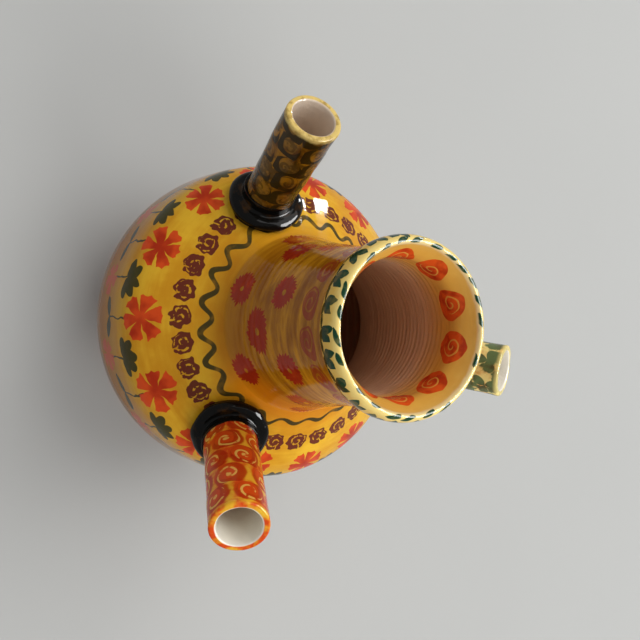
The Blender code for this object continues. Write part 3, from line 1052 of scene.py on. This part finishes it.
def lip_glaze(tints):
    """Yellow lip with fat green leaves and thin stalks on its outer half, dabs on its crest and a painted
    highlight line along the crest.
    """
    brush = Brush("lip_glaze")
    at, arc = spot_on_pot(brush)
    place, around, girth = at.place, at.around, at.girth
    mouth_ground(brush, tints, at)
    mouth_spirals(brush, tints, at, brush.edge(arc, 0.0225, 0.0240))
    streaks = brushed(brush, at, arc, 420, 2.0)
    patches = brush.cloud(place, 190, 2.0)
    brush.lay(tints.cream, brush.ragged(arc, patches, 0.002, 0.0232, 0.0216) * 0.78)
    outer = brush.ragged(arc, patches, 0.006, 0.0180, 0.0120)
    brush.lay(brush.mix(tints.ochre, tints.honey, streaks), outer * 0.60)
    shift_x, shift_y = hand(brush, place, 0.0030, 170)
    _, across, luck = stamp_row(brush, around, girth, 22, 3.0, 13.0)
    across = across + shift_x + (luck[0] - 0.5) * 0.003
    up = arc - 0.0078 + shift_y + (luck[1] - 0.5) * 0.002
    sprig = leaves(brush, across, up, LIP_LEAVES)
    stalk = brush.edge(brush.size(arc - 0.0066 + shift_y * 1.6) - 0.00036, SOFT, 0)
    _, across, luck = stamp_row(brush, around, girth, 26, 9.0, 19.0)
    up = arc - 0.0184 + shift_y + (luck[0] - 0.5) * 0.0036
    across = across + 0.0045 + (luck[2] - 0.5) * 0.003
    crest_dab = leaf(brush, across, up, 18, luck[1] * 0.005 + 0.0070, 0.0018)
    crest_dab *= brush.edge(luck[1], 0.10, 0.14)
    above = brush.edge(arc, 0.0226, 0.0214)
    dark = brush.ragged(arc, patches, 0.012, 0.0160, 0.0070)
    tint = brush.mix(tints.lip_leaf, tints.leaf, dark * 0.85)
    greens = brush.most(sprig, crest_dab) * (brush.edge(patches, 0.30, 0.52) * 0.14 + 0.85)
    # Painted highlight: a thin white line along the crest, where the glaze also breaks pale over the edge.
    thin = brush.edge(brush.size(arc - 0.0218 + shift_y * 0.5), 0.0020, 0.0004)
    brush.lay(tints.white, thin * 0.25)
    brush.lay(tint, brush.most(greens, stalk * 0.75) * above)
    roughness = brush.cloud(place, 700, 2.0) * 0.03 + 0.02
    return brush.finish(roughness, streaks, 0.0002)


def tube_stamps(brush, at, count, spacing, stagger, seed):
    """Rows of round stamps up a tube, each row turned from the last by a share of a stamp."""
    shift_x, shift_y = hand(brush, at.place, 0.0038, 95)
    rows = (at.z + shift_y) / spacing
    row = brush.reckon("ROUND", rows)
    turned = at.around + row * (WHOLE_TURN / count * stagger)
    number, across = girdle(brush, turned, at.girth, count, 20.0)
    luck = brush.chance(number + row * count, seed)
    up = (rows - row) * spacing + (luck[0] - 0.5) * 0.002
    distance, turns = brush.polar(across + shift_x + (luck[2] - 0.5) * 0.002, up)
    return distance, turns, luck


def crescent(brush, distance, turns, radius, half_width, towards):
    """A fat stroke round one side of a stamp, thickest towards a direction in turns."""
    off = turns - towards
    off = brush.size(off - brush.reckon("ROUND", off))
    thick = brush.edge(off, 0.44, 0.12) * half_width
    return brush.edge(brush.size(distance - radius) - thick, 0.0005, -0.0005)


def red_tube_glaze(tints, tube):
    """Overlapping orange red rounds with thin yellow curls, and a yellow and orange rim."""
    brush = Brush("red_glaze")
    at = spot_on_tube(brush)
    patches = brush.cloud(at.place, 90, 3.0, 0.6)
    distance, turns, luck = tube_stamps(brush, at, 5, 0.0165, 0.5, 17.0)
    disc = brush.ragged(distance, patches, 0.0030, 0.0112, 0.0094)
    line = curl(brush, distance, turns, 0.0062, 0.00062, 0.0014, 0.0076, luck[1])
    line = brush.most(line, brush.edge(distance, 0.0020, 0.0012))
    shadow = crescent(brush, distance, turns, 0.0080, 0.0036, 0.36)
    gap = brush.mix(tints.spiral, tints.honey, brush.edge(patches, 0.36, 0.60) * 0.80)
    red = brush.mix(tints.spiral, tints.red, brush.edge(patches, 0.36, 0.58))
    red = brush.mix(red, tints.petal, shadow * 0.85)
    brush.ground = brush.mix(gap, red, disc * 0.90)
    thin = brush.blots(at.place, 260, 1.0, 0.36, 0.50)
    brush.lay(brush.mix(tints.honey, tints.cream, 0.35), line * thin * 0.72)
    rim = brush.ragged(at.z, patches, 0.007, tube - 0.0042, tube - 0.0016)
    rim_tint = brush.mix(tints.honey, tints.spiral, brush.blots(at.place, 120, 2.0, 0.42, 0.62))
    brush.lay(rim_tint, rim * 0.85)
    return finish_tube(brush, tints, patches, at, tube)


def olive_tube_glaze(tints, tube):
    """Dark olive crescents and soft curls over mottled ochre, with an olive yellow rim."""
    brush = Brush("olive_glaze")
    at = spot_on_tube(brush)
    patches = brush.cloud(at.place, 110, 4.0, 0.65)
    distance, turns, luck = tube_stamps(brush, at, 6, 0.0140, 0.25, 23.0)
    mottle = brush.edge(brush.cloud(at.place, 70, 3.0, 0.6), 0.40, 0.62)
    brush.ground = brush.mix(brush.mix(tints.amber, tints.olive, 0.60), tints.ochre, mottle * 0.50)
    inside = brush.edge(distance, 0.0070, 0.0048)
    brush.lay(tints.tan, inside * brush.edge(patches, 0.30, 0.60) * 0.90)
    band = crescent(brush, distance, turns, 0.0074, 0.0030, luck[1] * 0.12 - 0.40)
    line = curl(brush, distance, turns, 0.0058, 0.00090, 0.0008, 0.0056, luck[1])
    smear = brush.edge(patches, 0.48, 0.60)
    dark = brush.most(brush.most(band, line * 0.60), smear * 0.75)
    brush.lay(tints.olive, dark * brush.edge(mottle * 0.2 + patches, 0.10, 0.45) * 0.95)
    rim = brush.ragged(at.z, patches, 0.004, tube - 0.0036, tube - 0.0012)
    speck = brush.blots(at.place, 210, 3.0, 0.46, 0.66)
    brush.lay(brush.mix(tints.cream, tints.ochre, 0.22), rim * 0.80)
    brush.lay(brush.mix(tints.wave, tints.ochre, 0.35), rim * speck * 0.60)
    # The share 0.45 browns the whole olive bore with painted shade.
    return finish_tube(brush, tints, patches, at, tube, 0.45)


def green_tube_glaze(tints, tube):
    """Green leaf dabs and smears over a cream and orange yellow ground."""
    brush = Brush("green_glaze")
    at = spot_on_tube(brush)
    patches = brush.cloud(at.place, 100, 3.0, 0.6)
    distance, turns, luck = tube_stamps(brush, at, 6, 0.0150, 0.5, 31.0)
    fan = brush.size(brush.wave(turns * (math.pi * 3) + luck[1] * 3))
    dab = brush.edge(fan * 0.0096 - distance, 0, 0.0010)
    brush.ground = brush.mix(tints.cream, tints.orange, brush.edge(patches, 0.42, 0.66) * 0.75)
    smear = brush.blots(at.place, 110, 3.0, 0.46, 0.54)
    green = brush.mix(tints.green, tints.lip_leaf, brush.edge(patches, 0.40, 0.60))
    brush.lay(green, brush.most(dab, smear) * 0.86)
    rim = brush.edge(at.z, tube - 0.0034, tube - 0.0010)
    brush.lay(tints.cream, rim * 0.6)
    return finish_tube(brush, tints, patches, at, tube)


def finish_tube(brush, tints, patches, at, tube, bare=0.0):
    """White bore glaze with painted shade browning it further in, and a black edge where the collar's glaze
    ran up.
    """
    bore = brush.ragged(at.girth, patches, 0.0010, 0.0137, 0.0129)
    # Painted shade: deep browns the bore towards the throat's colour further in, and bare browns it all
    # through.
    deep = brush.ragged(at.z, patches, 0.02, tube - 0.010, tube - 0.050) * (0.75 - bare) + bare
    brush.lay(brush.mix(tints.white, tints.throat, deep), bore)
    run_up = brush.ragged(at.z, patches, 0.009, 0.0160, 0.0145)
    brush.lay(tints.black, run_up * (1 - bore))
    roughness = patches * 0.08 + brush.cloud(at.place, 800, 2.0) * 0.04 + 0.05
    return brush.finish(roughness, patches + brush.cloud(at.place, 300, 2.0) * 0.2, 0.0006)


def collar_glaze(name, tints):
    """Glossy black with faint olive streaks where the brush went round."""
    brush = Brush(name)
    at = spot_on_tube(brush)
    streaks = brushed(brush, at, at.z + at.girth, 260, 2.2, 3.0, 0.6)
    patches = brush.cloud(at.place, 90, 2.0)
    thin = brush.edge(streaks * 0.75 + patches * 0.40, 0.60, 0.80)
    brush.ground = brush.mix(tints.black, brush.mix(tints.olive, tints.amber, 0.25), thin * 0.55)
    roughness = streaks * 0.07 + 0.03
    return brush.finish(roughness, patches + streaks * 0.12, 0.0006)


def foot_clay(tints):
    """Bare fired clay with turning lines, grog, and a patchy darker band along its bottom edge."""
    brush = Brush("bare_clay")
    at, _ = spot_on_pot(brush)
    lines = brushed(brush, at, at.girth + at.z, 600, 1.0, 3.0, 0.6)
    patches = brush.cloud(at.place, 45, 3.0, 0.6)
    grog = brush.blots(at.place, 1300, 1.0, 0.64, 0.72)
    brush.ground = brush.mix(tints.clay, tints.throat, brush.edge(patches, 0.35, 0.70))
    brush.lay(tints.rose, grog * 0.35)
    # A patchy darker band along the foot's bottom edge.
    dark_bottom_band = brush.edge(at.z, 0.0016, 0.0004) * brush.edge(patches, 0.40, 0.60)
    brush.lay(tints.black, dark_bottom_band * 0.30)
    return brush.finish(lines * 0.15 + 0.62, lines + grog * 0.4, 0.0005)


def inner_clay(tints):
    """The belly's bare inside."""
    brush = Brush("inner_clay")
    at, _ = spot_on_pot(brush)
    lines = brushed(brush, at, at.z, 160, 0.6)
    brush.ground = brush.mix(tints.throat, tints.clay, brush.edge(lines, 0.3, 0.7))
    return brush.finish(lines * 0.2 + 0.5, lines, 0.0012)


# Operators: one for each piece or group of like pieces


def pot_settings(context):
    """The sizes of the thrown pieces, those of the spouts, and the glazes' colours."""
    scene = context.scene
    return scene.pottery_body, scene.pottery_spouts, scene.pottery_glazes


class POTTERY_OT_throw_belly(bpy.types.Operator):
    """Throw the round belly, cut its spout holes and paint its bands"""

    bl_idname = "pottery.throw_belly"
    bl_label = "Throw belly"

    def execute(self, context):
        body, spouts, tints = pot_settings(context)
        outer = belly_side(body)
        opening = body.seat_radius - body.seat_width
        ledge = BELLY_HIGH.z - body.seat_depth
        under_ledge = ledge - LEDGE_THICKNESS
        inner = [point for point in beside(outer, -body.belly_wall)
                 if point[1] < under_ledge and point[0] > opening]
        inner.append((opening, under_ledge))
        floor = BELLY_LOW.z + body.belly_wall
        rim = [(opening, ledge), (body.seat_radius - LEDGE_INSET, ledge)]
        outline = [(0, floor), (inner[0][0] - FLOOR_CORNER, floor)] + inner[1:] + rim + outer[::-1]
        outline.append((0, BELLY_LOW.z))
        belly = turn("belly_thrown", outline, body.steps)
        for i in range(len(SPOUT_NAMES)):
            radius = spout_girth(spouts, i, 0) - HOLE_INSET
            bore_through(belly, spout_place(body, spouts, i), radius, -HOLE_REACH, HOLE_REACH)
        runs = run_lengths(outline)
        seat_run = runs[len(outline) - 1 - len(outer)]
        mark_places(belly, outline, [run - seat_run for run in runs])
        arcs = belly.data.attributes["arc"].data
        inside = [arcs[vertex.index].value < -BELLY_MARGIN for vertex in belly.data.vertices]
        throw_unevenly(belly, body.unevenness)
        smooth(belly)
        dress(belly, "belly", "belly_glaze", belly_glaze(tints), inner_clay(tints))
        glaze_faces(belly, 1, lambda face: all(inside[corner] for corner in face.vertices))
        return {"FINISHED"}


class POTTERY_OT_turn_foot(bpy.types.Operator):
    """Turn the bare clay foot under the belly"""

    bl_idname = "pottery.turn_foot"
    bl_label = "Turn foot"

    def execute(self, context):
        body, _, tints = pot_settings(context)
        wear = body.foot_edge
        top = [point for point in belly_side(body) if point[0] <= COVER_RADIUS and point[1] < COVER_HEIGHT]
        height = top[-1][1]
        waist = ellipse((WAIST_RADIUS, (height + wear) / 2), WAIST_DEPTH, (height - wear) / 2, 110, 250, 9)
        waist = [(min(radius, FOOT_HIGH.x), z) for radius, z in waist]
        edge = ellipse((FOOT_RADIUS - wear, wear), wear, wear, 0, -90, 5)
        outline = [(0, BELLY_LOW.z), (COVER_START, BELLY_LOW.z)] + top + waist[1:-1] + edge + FOOT_HOLLOW
        foot = turn("foot_turned", outline, body.steps)
        mark_places(foot, outline, run_lengths(outline))
        smooth(foot)
        dress(foot, "foot", "bare_clay", foot_clay(tints))
        return {"FINISHED"}


class POTTERY_OT_throw_neck(bpy.types.Operator):
    """Throw the wide neck with its throwing rings, and paint its daisies"""

    bl_idname = "pottery.throw_neck"
    bl_label = "Throw neck"

    def execute(self, context):
        body, _, tints = pot_settings(context)
        outer = neck_side(body)
        low = BELLY_HIGH.z - SPIGOT_DEPTH
        narrow = LIP_LOW.z - STRAIGHT_THROAT
        flare = ((SPIGOT_BORE, low), (SPIGOT_BORE - body.root_curve, low + body.root_curve),
                 (body.throat_radius, narrow - body.flare_curve), (body.throat_radius, narrow))
        inner = bend(flare, spaced(0, 1, THROAT_POINTS))
        inner += [(body.throat_radius, z) for z in spaced(narrow, LIP_LOW.z, 5)[1:]]
        spigot = body.seat_radius - body.seat_width - SPIGOT_GAP
        shelf = BELLY_HIGH.z - FLANGE_DEPTH
        flange = [(body.seat_radius - FLANGE_INSET, shelf), (spigot, shelf), (spigot, low)]
        outline = inner + outer[::-1] + flange
        neck = turn("neck_thrown", outline, body.steps)
        runs = run_lengths(outline)
        root_run = runs[len(inner) + len(outer) - 1]
        mark_places(neck, outline, [root_run - run for run in runs])
        skin = root_run - runs[len(inner)]
        arcs = neck.data.attributes["arc"].data
        inside = [arcs[vertex.index].value > skin + THROAT_MARGIN for vertex in neck.data.vertices]
        throw_unevenly(neck, body.unevenness)
        throw_rings(neck, inside, body.throat_ring_gap, body.throat_ring_depth)
        throw_rings(neck, [not inner_side for inner_side in inside], body.ring_gap, body.ring_depth)
        smooth(neck)
        dress(neck, "neck", "neck_glaze", neck_glaze(tints), throat_glaze(tints))
        glaze_faces(neck, 1, lambda face: any(inside[corner] for corner in face.vertices))
        return {"FINISHED"}


class POTTERY_OT_roll_lip(bpy.types.Operator):
    """Roll the lip over the neck's top, flared inside, and paint its leaves"""

    bl_idname = "pottery.roll_lip"
    bl_label = "Roll lip"

    def execute(self, context):
        body, _, tints = pot_settings(context)
        crest = LIP_HIGH.z
        crest_radius = LIP_HIGH.x - body.lip_bulge
        half = (crest - LIP_LOW.z) / 2
        brow = (crest_radius - body.lip_round, crest - body.lip_drop)
        flare = ((body.throat_radius, LIP_LOW.z), (body.throat_radius, LIP_LOW.z + LIP_FLARE),
                 (brow[0] - LIP_FLARE / 2, brow[1] - LIP_FLARE), brow)
        over = (brow, (brow[0] + body.lip_round * 0.4, brow[1] + body.lip_drop / 1.5),
                (crest_radius - body.lip_round * 0.6, crest), (crest_radius, crest))
        inner = bend(flare, spaced(0, 1, 22)) + bend(over, spaced(0, 1, 12))[1:]
        bead = ellipse((crest_radius, crest - half), body.lip_bulge, half, 90, -90, 26)[1:]
        outline = inner + bead + [(crest_radius - LIP_UNDERCUT, LIP_LOW.z + LIP_LIFT)]
        lip = turn("lip_rolled", outline, body.steps)
        runs = run_lengths(outline)
        mark_places(lip, outline, [runs[-2] - run for run in runs])
        throw_unevenly(lip, body.unevenness)
        smooth(lip)
        dress(lip, "lip", "lip_glaze", lip_glaze(tints))
        return {"FINISHED"}


class POTTERY_OT_roll_spouts(bpy.types.Operator):
    """Roll the three tubes and set them through the shoulder"""

    bl_idname = "pottery.roll_spouts"
    bl_label = "Roll spouts"

    def execute(self, context):
        body, spouts, tints = pot_settings(context)
        glazes = (olive_tube_glaze, red_tube_glaze, green_tube_glaze)
        for i, name in enumerate(SPOUT_NAMES):
            bore, edge, mouth = spouts.bore_radius, spouts.rim_edge, spouts.tube[i]
            rim = ellipse((bore + edge, mouth - edge), edge, edge, 180, 90, 7)
            rim += ellipse((spouts.mouth_radius - edge, mouth - edge), edge, edge, 90, 0, 7)
            inner_end = -spouts.inside
            inside = [(bore, along) for along in spaced(inner_end, mouth - edge, 30)[:-1]]
            outside = [(spout_girth(spouts, i, along), along)
                       for along in spaced(mouth - edge, inner_end, 44)[1:]]
            outline = inside + rim + outside
            tube = turn(f"spout_{name}_rolled", outline, TUBE_STEPS)
            mark_places(tube, outline, run_lengths(outline))
            press_by_hand(tube, *TUBE_DENTS)
            tube.matrix_world = spout_place(body, spouts, i)
            settle(tube)
            smooth(tube)
            dress(tube, f"spout_{name}", f"{name}_glaze", glazes[i](tints, mouth))
        return {"FINISHED"}


class POTTERY_OT_press_collars(bpy.types.Operator):
    """Press a black collar round each tube's root"""

    bl_idname = "pottery.press_collars"
    bl_label = "Press collars"

    def execute(self, context):
        body, spouts, tints = pot_settings(context)
        for i, name in enumerate(SPOUT_NAMES):
            bulge, rise = spouts.collar_bulge, spouts.rim_height - spouts.rim_middle
            centre = (spouts.collar_radius[i] - bulge, spouts.rim_middle)
            rim = ellipse(centre, bulge, rise, 90, -55, 18)
            top = (spout_girth(spouts, i, spouts.collar_height) + spouts.collar_wall, spouts.collar_height)
            waist = (top[0] + SLEEVE_EASE, spouts.rim_height + SLEEVE_WAIST)
            foot = (rim[0][0] - RIM_REACH, spouts.rim_height)
            sleeve = bend((top, waist, foot, rim[0]), spaced(0, 1, 18))
            inner = spout_girth(spouts, i, 0) - COLLAR_BITE
            sleeve_end = (top[0] - SLEEVE_ROUND, top[1] - SLEEVE_ROUND)
            rolled = ellipse(sleeve_end, SLEEVE_ROUND, SLEEVE_ROUND, 100, 10, 5)
            outline = [(inner, COLLAR_LOW), (inner, top[1] - SLEEVE_EASE)] + rolled + sleeve[2:] + rim[1:]
            under = rim[-1][0]
            outline += [(under - COLLAR_TUCK, COLLAR_FOOT), (under - COLLAR_BITE, COLLAR_LOW)]
            collar = turn(f"collar_{name}_pressed", outline, COLLAR_STEPS)
            mark_places(collar, outline, run_lengths(outline))
            press_by_hand(collar, *COLLAR_DENTS)
            collar.matrix_world = collar_place(body, spouts, i)
            settle(collar)
            smooth(collar)
            slot = f"black_glaze_{name}"
            dress(collar, f"collar_{name}", slot, collar_glaze(slot, tints))
        return {"FINISHED"}


# Each pane's azimuth, elevation and roll in degrees, and its width and height in metres
WINDOW_PANES = (
    (150.4, 1.50, 34.5, 0.160, 0.0315),
    (150.4, 2.62, 29, 0.140, 0.0084),
    (159.3, 6.90, 29, 0.030, 0.020),
    (163.3, 9.5, 27, 0.034, 0.009),
)

# The point that every light faces, the distance of the near panels, and where the two far lights hang from it
PANEL_CENTRE = Vector((0, 0, 0.15))
PANEL_DISTANCE = 1.2
SOFT_OFFSET = Vector((-1.45, 1.15, 2.80))
SIDE_OFFSET = Vector((2.52, 1.50, 1.80))
FLOOR_SIZE = 6


def panel_offset(azimuth, elevation):
    """From the lights' common centre to a near panel in this direction, in degrees."""
    return leaning(*degrees(azimuth, 90 - elevation)) @ Vector((0, 0, PANEL_DISTANCE))


class POTTERY_OT_set_studio(bpy.types.Operator):
    """Lay the pale floor, hang the lights and set the camera"""

    bl_idname = "pottery.set_studio"
    bl_label = "Set studio"

    def execute(self, context):
        scene = context.scene
        studio = scene.pottery_studio
        bpy.ops.object.select_all(action="DESELECT")
        bpy.ops.mesh.primitive_plane_add(size=FLOOR_SIZE, location=(0, 0, 0))
        floor = context.active_object
        floor.name = "floor"
        brush = Brush("pale_floor")
        grain = brush.cloud(brush.place(), 3.0, 2.0)
        brush.ground = brush.mix(studio.floor, tuple(0.93 * level for level in studio.floor), grain)
        brush.shader.inputs["Specular IOR Level"].default_value = 0.0
        brush.finish(grain * 0.06 + 0.5)
        floor.data.materials.append(brush.material)

        world = bpy.data.worlds.new("studio_surroundings")
        world.use_nodes = True
        backdrop = world.node_tree.nodes["Background"]
        backdrop.inputs["Color"].default_value = (*studio.sky, 1)
        backdrop.inputs["Strength"].default_value = studio.fill
        scene.world = world

        self.hang_panel("soft_light", SOFT_OFFSET, 3.4, 3.4, studio.soft)
        side = self.hang_panel("side_light", SIDE_OFFSET, 2.4, 2.4, studio.side)
        side.visible_glossy = False
        glint = self.hang_panel("rim_light", panel_offset(97, 48), 0.9, 0.8, studio.rim)
        glint.visible_diffuse = False
        for azimuth, elevation, roll, width, height in WINDOW_PANES:
            power = studio.window * width * height
            pane = self.hang_panel("window_pane", panel_offset(azimuth, elevation), width, height, power)
            pane.rotation_quaternion = pane.rotation_quaternion @ Quaternion((0, 0, 1), math.radians(roll))
            pane.visible_diffuse = False

        bpy.ops.object.camera_add(location=studio.camera_place, rotation=studio.camera_turn)
        camera = context.active_object
        camera.data.lens = studio.lens
        camera.data.sensor_width = 36
        scene.camera = camera
        scene.view_settings.view_transform = "Standard"
        return {"FINISHED"}

    def hang_panel(self, name, offset, width, height, power):
        """A soft rectangular light that faces the pot."""
        bpy.ops.object.light_add(type="AREA", location=PANEL_CENTRE + offset)
        panel = bpy.context.active_object
        panel.name = name
        panel.rotation_mode = "QUATERNION"
        panel.rotation_quaternion = (-offset).to_track_quat("-Z", "Y")
        panel.data.shape = "RECTANGLE"
        panel.data.size = width
        panel.data.size_y = height
        panel.data.energy = power
        return panel


class POTTERY_PT_workshop(bpy.types.Panel):
    """Lists the steps in the order in which the pot is made"""

    bl_label = "Pottery vase"
    bl_idname = "POTTERY_PT_workshop"
    bl_space_type = "VIEW_3D"
    bl_region_type = "UI"
    bl_category = "Vase"

    def draw(self, context):
        layout = self.layout
        for step in STEPS:
            layout.operator(step.bl_idname)
        for settings in GROUPS:
            box = layout.box()
            group = getattr(context.scene, settings)
            for name in group.bl_rna.properties.keys():
                if name not in ("rna_type", "name"):
                    box.prop(group, name)


STEPS = (POTTERY_OT_throw_belly, POTTERY_OT_turn_foot, POTTERY_OT_throw_neck, POTTERY_OT_roll_lip,
         POTTERY_OT_roll_spouts, POTTERY_OT_press_collars, POTTERY_OT_set_studio)
GROUPS = {
    "pottery_body": ThrownBodySettings,
    "pottery_spouts": SpoutSettings,
    "pottery_glazes": GlazeSettings,
    "pottery_studio": StudioSettings,
}
CLASSES = (*GROUPS.values(), *STEPS, POTTERY_PT_workshop)


def register():
    for cls in CLASSES:
        bpy.utils.register_class(cls)
    for name, group in GROUPS.items():
        setattr(bpy.types.Scene, name, PointerProperty(type=group))


def unregister():
    for name in GROUPS:
        delattr(bpy.types.Scene, name)
    for cls in reversed(CLASSES):
        bpy.utils.unregister_class(cls)


def main():
    register()
    bpy.ops.pottery.throw_belly()
    bpy.ops.pottery.turn_foot()
    bpy.ops.pottery.throw_neck()
    bpy.ops.pottery.roll_lip()
    bpy.ops.pottery.roll_spouts()
    bpy.ops.pottery.press_collars()
    bpy.ops.pottery.set_studio()


if __name__ == "__main__":
    main()
